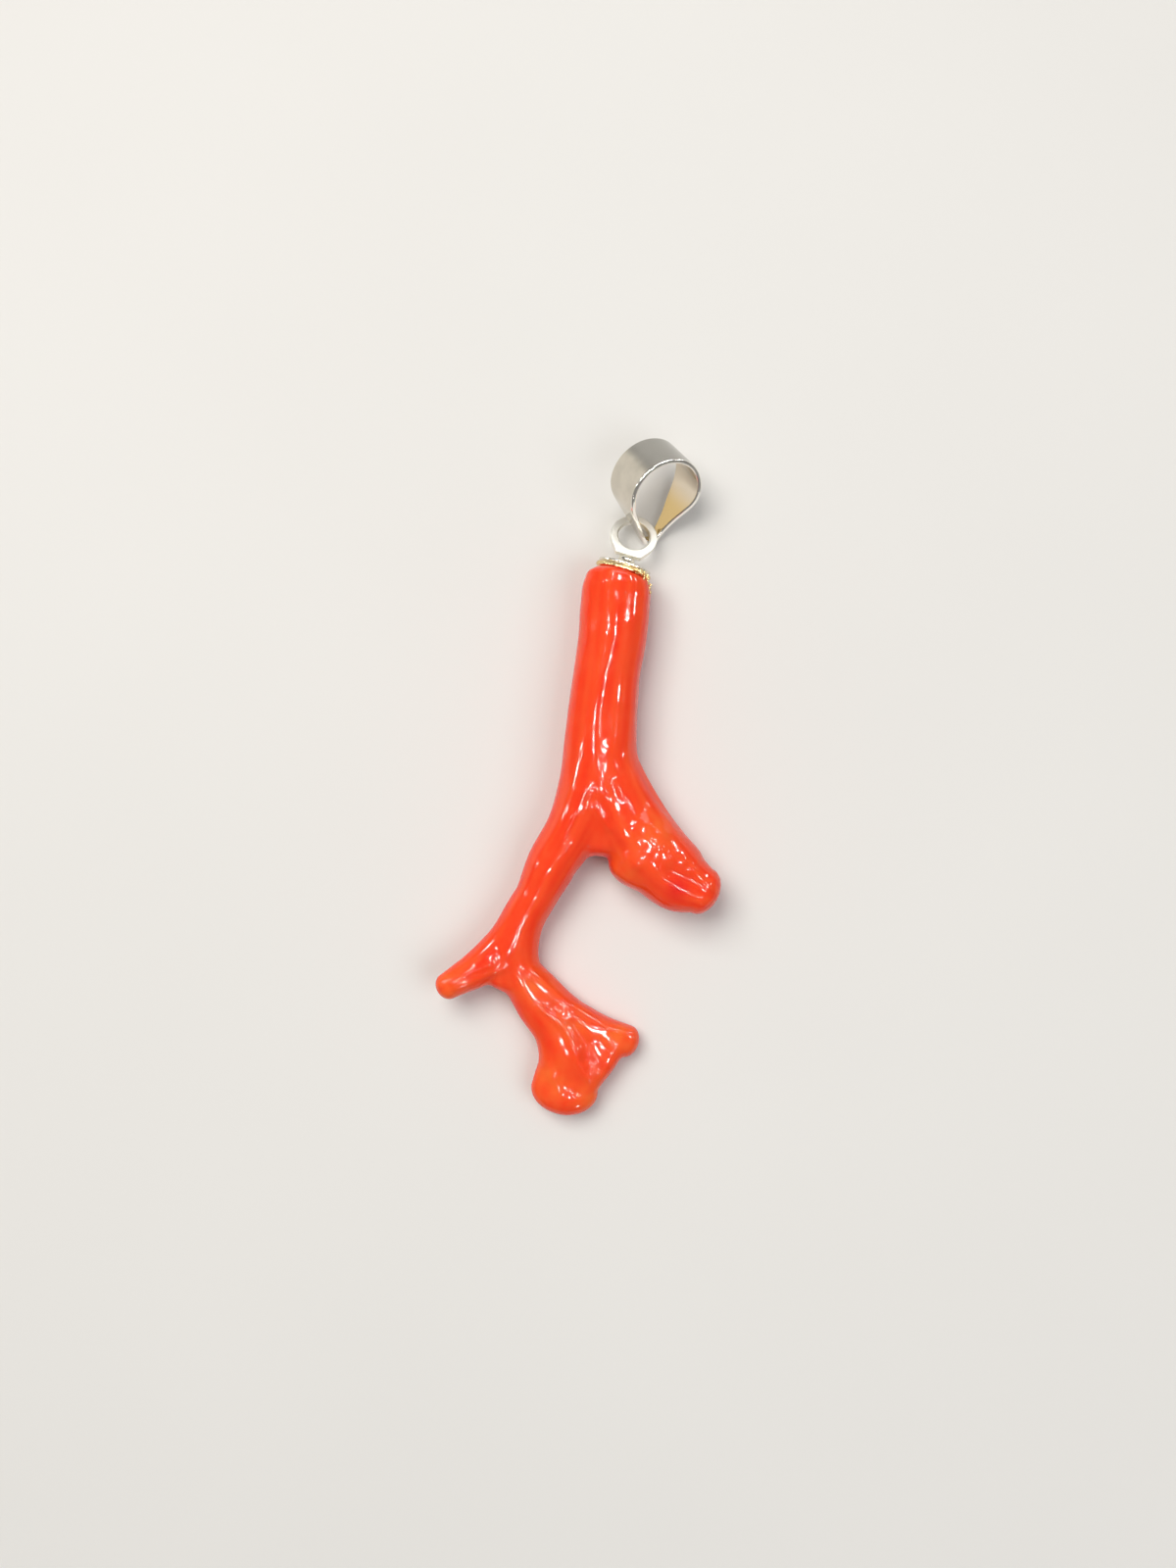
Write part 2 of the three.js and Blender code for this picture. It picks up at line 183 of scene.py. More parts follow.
class Limb:
    """A ridged oval tube along a curve, as a field that is negative inside."""

    FAR = 6.0  # the field's value beyond the limb's reach
    REACH = 1.2  # how far outside the limb its field is worked out
    FEWEST_RIDGES = 3
    ON_AXIS = 1e-6  # keeps the slope finite on the centre line
    BATCH = 20000  # points compared with the centre line at once

    def __init__(self, tip, stations, rng):
        rows = through(stations, LINE_STEP)
        self.tip = tip
        self.centre = rows[:, :3] + BRANCH_ORIGIN
        self.half = rows[:, 3:]
        self.tangent = unit(np.gradient(self.centre, axis=0))
        self.side = unit(np.cross(UP, self.tangent))
        self.rise = np.cross(self.tangent, self.side)
        self.step = np.linalg.norm(self.centre[1] - self.centre[0])
        share = self.half.mean() / RIDGE_RADIUS
        self.ridges = [
            (max(self.FEWEST_RIDGES, round(count * share)), height, *rng.uniform(0, 2 * math.pi, 3))
            for count, height in RIDGES]
        self.lines = [
            (round(count * share), strength, *rng.uniform(0, 2 * math.pi, 3))
            for count, strength in GROWTH_LINES]
        margin = self.half.max() + self.REACH
        self.low, self.high = self.centre.min(0) - margin, self.centre.max(0) + margin

    def nearest(self, points):
        """The place of each point along the centre line, in steps."""
        sizes = (self.centre ** 2).sum(1)
        first = np.concatenate([
            np.argmin(sizes - 2 * part @ self.centre.T, axis=1)
            for part in np.array_split(points, len(points) // self.BATCH + 1)])
        ahead = ((points - self.centre[first]) * self.tangent[first]).sum(1) / self.step
        return np.clip(first + ahead, 0, len(self.centre) - 1)

    @staticmethod
    def waves(rows, angle, along):
        """The sum of waves round the limb that wander and swell along it."""
        mean, change, pitch = RIDGE_SWELL
        height = np.zeros_like(angle)
        for count, size, phase, sway, swell in rows:
            wander = phase + RIDGE_SWAY * np.sin(along * RIDGE_DRIFT + sway)
            strength = mean + change * np.cos(along * pitch + swell)
            height += size * np.cos(count * angle + wander) * strength
        return height

    def measure(self, points):
        """The field, the growth lines and the height above the middle, as a share of the half depth."""
        field = np.full(len(points), self.FAR)
        lines, height = np.zeros(len(points)), np.zeros(len(points))
        near = np.flatnonzero(((points > self.low) & (points < self.high)).all(1))
        if not len(near):
            return field, lines, height
        p = points[near]
        place = self.nearest(p)
        i = np.minimum(place.astype(int), len(self.centre) - 2)
        t = (place - i)[:, None]
        lines_along = (self.centre, self.half, self.tangent, self.side, self.rise)
        centre, half, tangent, side, rise = (a[i] * (1 - t) + a[i + 1] * t for a in lines_along)
        off = p - centre
        u, v = (off * side).sum(1) / half[:, 0], (off * rise).sum(1) / half[:, 1]
        past = (off * tangent).sum(1)
        past = np.where(past > 0, past / self.tip, -past / ROOT_ROUND)
        round_out = np.hypot(u, v) + self.ON_AXIS
        left = (len(self.centre) - 1 - place) * self.step
        angle, along = np.arctan2(v, u), place * self.step
        ridge = self.waves(self.ridges, angle, along) * np.clip(left / RIDGE_FADE, 0, 1)
        slope = np.hypot(u / half[:, 0], v / half[:, 1]) / round_out
        reach = np.sqrt(round_out ** 2 + past ** 2)
        field[near] = (reach - 1 - ridge) / slope
        lines[near] = self.waves(self.lines, angle, along)
        height[near] = v
        return field, lines, height


rng = np.random.default_rng(SEED)
limbs = [Limb(tip, stations, rng) for tip, stations in LIMBS.values()]

# The stem's cut end, turned as the cap and the eye on it are.
STEM_END = np.array([3.83, 17.5, 2.6]) + BRANCH_ORIGIN
FITTING_TURN = math.radians(-17)
FITTING_AXIS = np.array([-math.sin(FITTING_TURN), math.cos(FITTING_TURN), 0.0])
END_ROUND = 0.3  # rounding of the cut edge
FLOOR_ROUND = 0.08  # rounding where the coral touches the floor


def line_distance(points, line):
    """Distance to a line of points, or to a single point."""
    best = np.linalg.norm(points - line[0], axis=1)
    for a, b in zip(line[:-1], line[1:]):
        span = b - a
        t = np.clip((points - a) @ span / (span @ span), 0, 1)
        best = np.minimum(best, np.linalg.norm(points - a - t[:, None] * span, axis=1))
    return best


def relief(points, height):
    """How far the low forms stand above the plain limbs."""
    upper = smooth_step(height, *UPPER_SIDE)
    flat = points[:, :2] - BRANCH_ORIGIN[:2]
    raised = np.zeros(len(points))
    for reach, rise, line in RELIEF:
        raised += rise * np.exp(-((line_distance(flat, np.array(line)) / reach) ** 2))
    raised *= upper
    share = SWELL_BELOW + (1 - SWELL_BELOW) * upper
    skew_y, skew_z = SWELL_SKEW
    for n, (size, pitch) in enumerate(SWELLS):
        x, y, z = (points * pitch + n).T
        wave = share * size * np.sin(x + np.sin(y))
        raised += wave * np.cos(skew_y * y + np.sin(z)) * np.sin(skew_z * z + x)
    return raised


def coral_field(points):
    """The whole coral's field: limbs and low forms, cut by the arches, the stem's end and the floor."""
    field, nearest = np.full(len(points), Limb.FAR), np.full(len(points), Limb.FAR)
    height = np.zeros(len(points))
    for limb in limbs:
        one, _, limb_height = limb.measure(points)
        height = np.where(one < nearest, limb_height, height)
        nearest = np.minimum(nearest, one)
        field = smooth_min(field, one, FORK_FILLET)
    near = np.flatnonzero(np.abs(field) < RELIEF_BAND)
    field[near] -= relief(points[near], height[near])
    for x, y, radius in ARCHES:
        arch = radius - np.hypot(points[:, 0] - x - BRANCH_ORIGIN[0], points[:, 1] - y - BRANCH_ORIGIN[1])
        field = smooth_max(field, arch, ARCH_ROUND)
    field = smooth_max(field, (points - STEM_END) @ FITTING_AXIS, END_ROUND)
    return smooth_max(field, -points[:, 2], FLOOR_ROUND)


def surface_net(field_at, low, high, step):
    """Points and four-cornered faces of the surface where a field is zero."""
    axes = [np.arange(lo, hi + step, step) for lo, hi in zip(low, high)]
    grid = np.stack(np.meshgrid(*axes, indexing="ij"), -1)
    field = field_at(grid.reshape(-1, 3)).reshape(grid.shape[:3])
    inside = field < 0
    corners = [(i, j, k) for i in (0, 1) for j in (0, 1) for k in (0, 1)]

    def corner(a, c):
        return a[tuple(slice(o, n - 1 + o) for o, n in zip(c, a.shape))]

    # One point in each cell that the surface crosses, at the middle of its edges' crossings.
    count = sum(corner(inside, c).astype(int) for c in corners)
    cells = np.argwhere((count > 0) & (count < len(corners)))
    index = np.full(count.shape, -1)
    index[tuple(cells.T)] = np.arange(len(cells))
    total, hits = np.zeros((len(cells), 3)), np.zeros((len(cells), 1))
    for a in corners:
        for axis in range(3):
            if a[axis]:
                continue
            b = tuple(1 if n == axis else x for n, x in enumerate(a))
            fa, fb = field[tuple((cells + a).T)], field[tuple((cells + b).T)]
            cross = ((fa < 0) != (fb < 0))[:, None]
            t = (fa / np.where(fa == fb, 1, fa - fb))[:, None]
            total += np.where(cross, np.array(a) + t * (np.array(b) - np.array(a)), 0)
            hits += cross
    points = np.array(low) + (cells + total / hits) * step

    # One face round each grid edge that the surface crosses.
    faces = []
    for axis in range(3):
        other = [n for n in range(3) if n != axis]
        here = [slice(1, -1)] * 3
        here[axis] = slice(0, -1)
        there = list(here)
        there[axis] = slice(1, None)
        offset = [0 if n == axis else 1 for n in range(3)]
        starts = np.argwhere(inside[tuple(here)] != inside[tuple(there)]) + offset
        quad = []
        for du, dv in ((0, 0), (1, 0), (1, 1), (0, 1)):
            cell = starts.copy()
            cell[:, other[0]] -= du
            cell[:, other[1]] -= dv
            quad.append(index[tuple(cell.T)])
        quad = np.stack(quad, 1)
        flip = inside[tuple(starts.T)] == (axis == 1)
        quad[flip] = quad[flip][:, ::-1]
        faces.append(quad)
    return points, np.concatenate(faces)


def settle(points, field_at, rounds=3, probe=0.01, least=0.2):
    """The points moved along the field's slope onto its zero surface."""
    for _ in range(rounds):
        value = field_at(points)
        slope = np.stack([(field_at(points + probe * axis) - value) / probe for axis in np.eye(3)], 1)
        points = points - slope * (value / np.maximum((slope ** 2).sum(1), least))[:, None]
    return points


def mesh_object(name, points, faces, material, matrix=None):
    """A smooth-shaded object from points in millimetres, in the frame or in a fitting's own axes."""
    mesh = bpy.data.meshes.new(name)
    mesh.from_pydata((np.asarray(points) * MM).tolist(), [], np.asarray(faces).tolist())
    mesh.validate()
    mesh.polygons.foreach_set("use_smooth", [True] * len(mesh.polygons))
    mesh.materials.append(material)
    made = bpy.data.objects.new(name, mesh)
    if matrix is not None:
        mesh.transform(matrix)
    bpy.context.scene.collection.objects.link(made)
    return made


def keep_value(made, name, values):
    """A value for each point of the mesh, which its material reads by name."""
    values = np.asarray(values, np.float32).ravel()
    made.data.attributes.new(name, "FLOAT", "POINT").data.foreach_set("value", values)


SAME_PLACE = 1e-7  # metres


def merge_points(made):
    """Points in one place made one, and all faces turned outward."""
    mesh = bmesh.new()
    mesh.from_mesh(made.data)
    bmesh.ops.remove_doubles(mesh, verts=mesh.verts, dist=SAME_PLACE)
    bmesh.ops.recalc_face_normals(mesh, faces=mesh.faces)
    mesh.to_mesh(made.data)
    mesh.free()


def add(tree, kind, inputs=None, **settings):
    """A node with its settings, and its inputs set to values or linked from sockets."""
    made = tree.nodes.new(kind)
    for key, value in settings.items():
        setattr(made, key, value)
    for key, value in (inputs or {}).items():
        if isinstance(value, bpy.types.NodeSocket):
            tree.links.new(value, made.inputs[key])
        else:
            made.inputs[key].default_value = value
    return made


def new_material(name):
    """A material, its nodes and its shader."""
    material = bpy.data.materials.new(name)
    material.use_nodes = True
    return material, material.node_tree, material.node_tree.nodes["Principled BSDF"]


def noise(tree, scale, detail=2.0, stretch=(1, 1, 1)):
    """Noise in the frame's axes with about `scale` waves per millimetre."""
    where = add(tree, "ShaderNodeTexCoord").outputs["Object"]
    scales = [scale / MM * s for s in stretch]
    where = add(tree, "ShaderNodeMapping", {"Vector": where, "Scale": scales}).outputs[0]
    return add(tree, "ShaderNodeTexNoise", {"Vector": where, "Scale": 1.0, "Detail": detail}).outputs["Fac"]


def spread(tree, value, low, high, to_low=0.0, to_high=1.0):
    """A value from low to high, stretched to run from to_low to to_high."""
    inputs = {"Value": value, "From Min": low, "From Max": high, "To Min": to_low, "To Max": to_high}
    return add(tree, "ShaderNodeMapRange", inputs).outputs["Result"]


MIX_FACTOR, MIX_A, MIX_B, MIX_RESULT = 0, 6, 7, 2  # a mix node's sockets for colours


def mix(tree, factor, a, b):
    """Colour a where the factor is 0 and b where it is 1."""
    made = add(tree, "ShaderNodeMix", {MIX_FACTOR: factor, MIX_A: a, MIX_B: b}, data_type="RGBA")
    return made.outputs[MIX_RESULT]


def multiply(tree, a, b):
    return add(tree, "ShaderNodeMath", {0: a, 1: b}, operation="MULTIPLY").outputs[0]


def plus(tree, a, b):
    return add(tree, "ShaderNodeMath", {0: a, 1: b}, operation="ADD").outputs[0]


def value_of(tree, name):
    """A value kept at the points of the mesh."""
    return add(tree, "ShaderNodeAttribute", attribute_name=name).outputs["Fac"]


# The coral's colours between and along its growth lines, in clouds and in warm zones, and its painted shade
# in the crotches and on its sides facing down. A pitch is in waves per millimetre, a range is the part of a
# pattern's values that is used, and a share is how much shows.
CORAL_RED, CORAL_ORANGE, STREAK_RANGE = (0.92, 0.036, 0.008, 1), (1.0, 0.098, 0.022, 1), (-0.9, 0.9)
CORAL_CLOUD, CLOUD_PITCH, CLOUD_RANGE, CLOUD_SHARE = (1.0, 0.11, 0.03, 1), 0.45, (0.45, 0.7), 0.3
CORAL_AMBER, AMBER_PITCH, AMBER_RANGE, AMBER_SHARES = (1.0, 0.17, 0.03, 1), 0.7, (0.25, 0.65), (0.2, 0.85)
# Painted shade: a deeper red in the crotches and along lower edges, and on the sides facing down.
CORAL_CREASE_SHADE, CREASE_SHADE_SHARE = (0.78, 0.008, 0.016, 1), 0.75
CORAL_SIDE_SHADE, SIDE_SHADE_SHARE = (0.84, 0.012, 0.008, 1), 0.8
CORAL_ROUGHNESS, GLOSS_RANGE = (0.06, 0.10), (0.3, 0.7)
CORAL_IOR = 1.42
PORE_PITCH, PORE_RANGE, PORE_STRENGTH, PORE_DEPTH = 2.4, (0.70, 0.78), 0.08, 0.03
GLOW, GLOW_DEPTH, GLOW_COLOURS = 0.4, 0.7, (1.0, 0.22, 0.08)  # light that spreads under the surface


def coral_material():
    """Polished coral: streaks, clouds, warm zones, painted shade in crotches and underneath, fine pores."""
    material, tree, shader = new_material("red_coral")
    streak, warm, crease_shade, side_shade = (value_of(tree, n) for n in ("streak", "warm", "crease_shade", "side_shade"))
    cloud = noise(tree, CLOUD_PITCH, detail=3.0)
    colour = mix(tree, spread(tree, streak, *STREAK_RANGE), CORAL_RED, CORAL_ORANGE)
    colour = mix(tree, multiply(tree, spread(tree, cloud, *CLOUD_RANGE), CLOUD_SHARE), colour, CORAL_CLOUD)
    amber = multiply(tree, warm, spread(tree, noise(tree, AMBER_PITCH), *AMBER_RANGE, *AMBER_SHARES))
    colour = mix(tree, amber, colour, CORAL_AMBER)
    # Painted shade in the crotches and along lower edges, then on the sides facing down.
    colour = mix(tree, multiply(tree, crease_shade, CREASE_SHADE_SHARE), colour, CORAL_CREASE_SHADE)
    colour = mix(tree, multiply(tree, side_shade, SIDE_SHADE_SHARE), colour, CORAL_SIDE_SHADE)
    pores = spread(tree, noise(tree, PORE_PITCH, detail=1.0), *PORE_RANGE)
    sunk = {"Height": pores, "Strength": PORE_STRENGTH, "Distance": PORE_DEPTH * MM}
    bump = add(tree, "ShaderNodeBump", sunk, invert=True)
    tree.links.new(colour, shader.inputs["Base Color"])
    tree.links.new(spread(tree, cloud, *GLOSS_RANGE, *CORAL_ROUGHNESS), shader.inputs["Roughness"])
    tree.links.new(bump.outputs[0], shader.inputs["Normal"])
    shader.inputs["IOR"].default_value = CORAL_IOR
    shader.inputs["Subsurface Weight"].default_value = GLOW
    shader.inputs["Subsurface Radius"].default_value = GLOW_COLOURS
    shader.inputs["Subsurface Scale"].default_value = GLOW_DEPTH * MM
    return material


# Handling marks on the silver, and dull patches that are darker and rougher.
MARK_PITCH, MARK_STRETCH, MARK_STRENGTH, MARK_DEPTH = 1.6, (0.25, 0.25, 3.0), 0.1, 0.02
DULL_PITCH, DULL_RANGE, DULL_TINT, DULL_ROUGHNESS = 0.7, (0.35, 0.7), 0.86, 0.06


def silver_material(name, tint, roughness, areas=()):
    """Polished silver with handling marks; areas are (attribute, tint, added roughness) within it."""
    material, tree, shader = new_material(name)
    marks = noise(tree, MARK_PITCH, detail=4.0, stretch=MARK_STRETCH)
    dull = noise(tree, DULL_PITCH, detail=3.0)
    colour = mix(tree, spread(tree, dull, *DULL_RANGE), tint, [DULL_TINT * c for c in tint[:3]] + [1])
    rough = spread(tree, dull, *GLOSS_RANGE, roughness, roughness + DULL_ROUGHNESS)
    for attribute, tone, added in areas:
        share = value_of(tree, attribute)
        colour = mix(tree, share, colour, tone)
        rough = plus(tree, rough, multiply(tree, share, added))
    raised = {"Height": marks, "Strength": MARK_STRENGTH, "Distance": MARK_DEPTH * MM}
    bump = add(tree, "ShaderNodeBump", raised)
    tree.links.new(colour, shader.inputs["Base Color"])
    tree.links.new(rough, shader.inputs["Roughness"])
    tree.links.new(bump.outputs[0], shader.inputs["Normal"])
    shader.inputs["Metallic"].default_value = 1.0
    return material


def zone(points, zones):
    """Near 1 at the middle of each zone, falling to 0 past its reach."""
    value = np.zeros(len(points))
    for *centre, reach in zones:
        away = np.linalg.norm(points - (np.array(centre) + BRANCH_ORIGIN), axis=1)
        value = np.maximum(value, np.exp(-((away / reach) ** 2)))
    return value


LEAST_WEIGHT = 1e-9


def streaks(points):
    """Lengthwise streaks, from the growth lines of the limbs that pass nearest."""
    total, weight = np.zeros(len(points)), np.full(len(points), LEAST_WEIGHT)
    for limb in limbs:
        field, lines, _ = limb.measure(points)
        share = np.exp(-np.maximum(field, 0) / STREAK_BLEND)
        total += share * lines
        weight += share
    return total / weight


def build_coral():
    low = np.min([limb.low for limb in limbs], axis=0)
    high = np.max([limb.high for limb in limbs], axis=0)
    points, faces = surface_net(coral_field, low, high, NET_STEP)
    points = settle(points, coral_field)
    coral = mesh_object("coral", points, faces, coral_material())
    normals = np.zeros(len(points) * 3, np.float32)
    coral.data.vertex_normals.foreach_get("vector", normals)
    keep_value(coral, "streak", streaks(points))
    keep_value(coral, "warm", zone(points, WARM_ZONES))
    # Masks for painted shade: in the crotches and along lower edges, and on the sides facing down.
    keep_value(coral, "crease_shade", zone(points, CREASE_SHADE_ZONES))
    keep_value(coral, "side_shade", smooth_step(-normals[2::3], *SIDE_SHADE_FACING))
    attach(coral, "pendant")
    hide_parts("stem", "short_branch", "long_branch", "side_twig", "fan_tip")


def join_rings(rings, closed=True):
    """Points and faces of rings joined in a loop; a ring that isn't closed is open between its ends."""
    rings = np.asarray(rings)
    n, m = rings.shape[:2]
    i, j = np.meshgrid(np.arange(n), np.arange(m if closed else m - 1), indexing="ij")
    ii, jj = (i + 1) % n, (j + 1) % m
    faces = np.stack([i * m + j, i * m + jj, ii * m + jj, ii * m + j], -1).reshape(-1, 4)
    return rings.reshape(-1, 3), faces


CORNER_STEPS = 6
SUPPORT = 0.03  # from a rounded corner to the points that keep the flat beside it flat


def rounded_section(half_across, half_out, edge):
    """Points (across, out) round a rectangle with rounded corners."""
    rows = []
    for quarter, (across, out) in enumerate(((1, 1), (-1, 1), (-1, -1), (1, -1))):
        middle = np.array([across * (half_across - edge), out * (half_out - edge)])
        angles = (quarter + np.linspace(0, 1, CORNER_STEPS)) * math.pi / 2
        spokes = np.stack([np.cos(angles), np.sin(angles)], 1)
        along = np.stack([-np.sin(angles), np.cos(angles)], 1) * SUPPORT
        arc = middle + edge * spokes
        rows += [arc[0] - along[0], *arc, arc[-1] + along[-1]]
    return np.array(rows)


# The bail: a strip bent into a teardrop about the eye's wire, height along Y and opening along X.
BAIL_THICKNESS = 0.42
BAIL_TOP, BAIL_TOE = 3.35, 0.95  # outer radii of its bends
BAIL_HEIGHT = 9.0
BAIL_PIVOT = 0.85  # from its origin down to the middle of the toe's bend
BAIL_HALF_WIDTH, BAIL_TOE_HALF_WIDTH = 2.0, 0.42
BAIL_TOP_EASE, BAIL_TOE_EASE = 2.5, 2.0  # handles of the curve along which the width changes
BAIL_TAPER_STEPS = 200
BAIL_EDGE = 0.13  # rounding of its edges
BAIL_TOP_STEPS, BAIL_TOE_STEPS, BAIL_RUN_STEPS = 90, 36, 48
BAIL_FACE = 0.9  # share of the half thickness past which a point lies on the strip's outer or inner face
BAIL_RIM_HIGHLIGHT = 0.7  # share of an edge's rounding that gets a painted highlight
BAIL_PAINTED_DARK_CROWN = (0.68, 0.86)  # how far the strip faces up its height where its rougher top with a painted dark reflection begins
BAIL_GOLD_REFLECTION = (-3.4, -1.2)  # depths below its origin over which the strip's inside gets a painted golden reflection
BAIL_AT = np.array([6.18, 21.82, 1.5]) + BRANCH_ORIGIN
BAIL_LIFT, BAIL_ROLL, BAIL_TURN = 37.5, -59, -7.6  # degrees about X, Y and Z
BAIL_SILVER, BAIL_ROUGHNESS = (0.68, 0.63, 0.54, 1), 0.05
BAIL_AREAS = (  # (area, tint, added roughness)
    # Painted light on the silver: a dark reflection on the top, warm reflections inside, golden low down,
    # and a highlight along the edges.
    ("crown_painted_dark", (0.40, 0.39, 0.36, 1), 0.10), ("inner_reflection", (0.78, 0.69, 0.56, 1), 0.0),
    ("gold_reflection", (0.72, 0.53, 0.25, 1), 0.0), ("rim_highlight", (0.97, 0.94, 0.88, 1), 0.05))


def bail_matrix():
    """From the bail's own axes to the frame."""
    turn, lift, roll = (
        Matrix.Rotation(math.radians(a), 4, axis)
        for a, axis in ((BAIL_TURN, "Z"), (BAIL_LIFT, "X"), (BAIL_ROLL, "Y")))
    return Matrix.Translation(Vector(BAIL_AT * MM)) @ turn @ lift @ roll


def build_bail():
    toe_y = -BAIL_PIVOT
    top_y = toe_y - BAIL_TOE + BAIL_HEIGHT - BAIL_TOP
    slope = math.asin((BAIL_TOP - BAIL_TOE) / (top_y - toe_y))
    mid_top, mid_toe = BAIL_TOP - BAIL_THICKNESS / 2, BAIL_TOE - BAIL_THICKNESS / 2
    arcs = [(top_y, mid_top, np.linspace(-slope, math.pi + slope, BAIL_TOP_STEPS)),
            (toe_y, mid_toe, np.linspace(math.pi + slope, 2 * math.pi - slope, BAIL_TOE_STEPS))]
    path = [np.stack([0 * a, y + r * np.sin(a), r * np.cos(a)], 1) for y, r, a in arcs]
    outward = [np.stack([0 * a, np.sin(a), np.cos(a)], 1) for _, _, a in arcs]
    gaps = ((path[0][-1], path[1][0], outward[0][-1]), (path[1][-1], path[0][0], outward[1][-1]))
    runs = [
        (np.linspace(a, b, BAIL_RUN_STEPS + 2)[1:-1], np.tile(n, (BAIL_RUN_STEPS, 1))) for a, b, n in gaps]
    path = np.concatenate([path[0], runs[0][0], path[1], runs[1][0]])
    outward = np.concatenate([outward[0], runs[0][1], outward[1], runs[1][1]])

    s = np.linspace(0, 1, BAIL_TAPER_STEPS)
    low = toe_y - BAIL_TOE - BAIL_THICKNESS
    rise = [low, toe_y + BAIL_TOE_EASE, top_y - BAIL_TOP_EASE, top_y]
    wide = [BAIL_TOE_HALF_WIDTH, BAIL_TOE_HALF_WIDTH, BAIL_HALF_WIDTH, BAIL_HALF_WIDTH]
    weights = [(1 - s) ** 3, 3 * s * (1 - s) ** 2, 3 * s * s * (1 - s), s ** 3]
    half_width = np.interp(path[:, 1], sum(w * y for w, y in zip(weights, rise)),
                           sum(w * x for w, x in zip(weights, wide)))

    rings = []
    areas = {name: [] for name, _, _ in BAIL_AREAS}
    for centre, out, half in zip(path, outward, half_width):
        section = rounded_section(half, BAIL_THICKNESS / 2, BAIL_EDGE)
        across, off = section[:, :1], section[:, 1:]
        rings.append(centre + across * [1, 0, 0] + off * out)
        face = off[:, 0] / (BAIL_THICKNESS / 2)
        inside = face < -BAIL_FACE
        # Where the painted dark reflection, the warm reflections and the edge highlight go.
        areas["crown_painted_dark"].append(smooth_step(out[1], *BAIL_PAINTED_DARK_CROWN) * (face > BAIL_FACE))
        areas["inner_reflection"].append(inside)
        areas["gold_reflection"].append(smooth_step(-centre[1], *BAIL_GOLD_REFLECTION) * inside)
        areas["rim_highlight"].append(np.abs(across[:, 0]) > half - BAIL_RIM_HIGHLIGHT * BAIL_EDGE)
    points, faces = join_rings(rings)
    silver = silver_material("bail_silver", BAIL_SILVER, BAIL_ROUGHNESS, BAIL_AREAS)
    bail = mesh_object("bail_band", points, faces, silver, bail_matrix())
    for name, values in areas.items():
        keep_value(bail, name, values)
    merge_points(bail)
    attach(bail, "bail")
    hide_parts("bail")


# The cap and eye stand on the stem's cut end: (radius, height) up the cap's profile.
FITTING_AT = np.array([3.83, 17.7, 2.6]) + BRANCH_ORIGIN
CAP_PROFILE = (
    (0.0, -0.18), (2.22, -0.18), (2.34, -0.1), (2.38, 0.04), (2.32, 0.18), (2.2, 0.24),
    (2.11, 0.28), (2.1, 0.32), (2.18, 0.36), (2.23, 0.43), (2.2, 0.52), (2.1, 0.58),
    (1.9, 0.62), (1.5, 0.68), (1.1, 0.74), (0.85, 0.8), (0.74, 0.88), (0.7, 1.0),
    (0.68, 1.12), (0.5, 1.25), (0.25, 1.33), (0.0, 1.35))
CAP_SIDES = 180
CAP_REFLECTION_TOP = 0.3  # height up to which the cap gets a painted golden reflection of the coral
ROPE_TURNS, ROPE_HEIGHT = 44, 0.04
ROPE_SLANT = 9  # radians by which a strand turns per millimetre up the edge
ROPE_FROM = 2.15  # radius beyond which the cap's edge is roped
CAP_SILVER, CAP_ROUGHNESS = (0.90, 0.86, 0.76, 1), 0.12
# GOLD colours the grains, and on the cap's lower band it is a painted reflection of the coral.
GOLD, GILDING_ROUGHNESS = (0.95, 0.72, 0.36, 1), 0.18

# Grains of gilding round the cap's right side: their line on the coral, and their sizes.
GRAIN_LINE = (
    (4.7, 17.5, 5.1), (5.4, 17.2, 4.55), (5.8, 16.85, 3.95), (5.92, 16.4, 3.7), (5.9, 15.85, 3.65))
GRAINS = 90
GRAIN_SPREAD = 0.11  # how far they stray from the line
GRAIN_RADII = (0.05, 0.14)

# The eye: a flat ring with a straight foot.
EYE_OUTER, EYE_HOLE = 2.03, 1.36  # radii
EYE_CENTRE = 1.98  # from the foot's base up to the ring's centre
EYE_THICKNESS, EYE_EDGE = 0.6, 0.12
EYE_FOOT_HALF = 1.1  # half the foot's width
EYE_SHOULDER = 0.9  # radians from straight down to where the foot's sides meet the ring
EYE_SIDES = 240
EYE_DIP = math.radians(-25)
EYE_UP = 1.32  # height of the foot's base up the cap
EYE_SILVER, EYE_ROUGHNESS = (0.97, 0.95, 0.88, 1), 0.4


def fitting_matrix():
    """From the axes of the cap, whose height is along Y, to the frame."""
    return Matrix.Translation(Vector(FITTING_AT * MM)) @ Matrix.Rotation(FITTING_TURN, 4, "Z")


def build_cap():
    rings = []
    for k in range(CAP_SIDES):
        angle = 2 * math.pi * k / CAP_SIDES
        ring = []
        for radius, height in CAP_PROFILE:
            rope = ROPE_HEIGHT * math.cos(ROPE_TURNS * angle + ROPE_SLANT * height) * (radius > ROPE_FROM)
            ring.append(((radius + rope) * math.cos(angle), height, -(radius + rope) * math.sin(angle)))
        rings.append(ring)
    points, faces = join_rings(rings, closed=False)
    # The cap's lower band is painted gold as a reflection of the coral beside it.
    silver = silver_material("cap_silver", CAP_SILVER, CAP_ROUGHNESS, (("coral_reflection", GOLD, 0.0),))
    cap = mesh_object("cap_dome", points, faces, silver, fitting_matrix())
    keep_value(cap, "coral_reflection", points[:, 1] < CAP_REFLECTION_TOP)
    merge_points(cap)
    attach(cap, "pendant")
    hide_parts("end_cap")


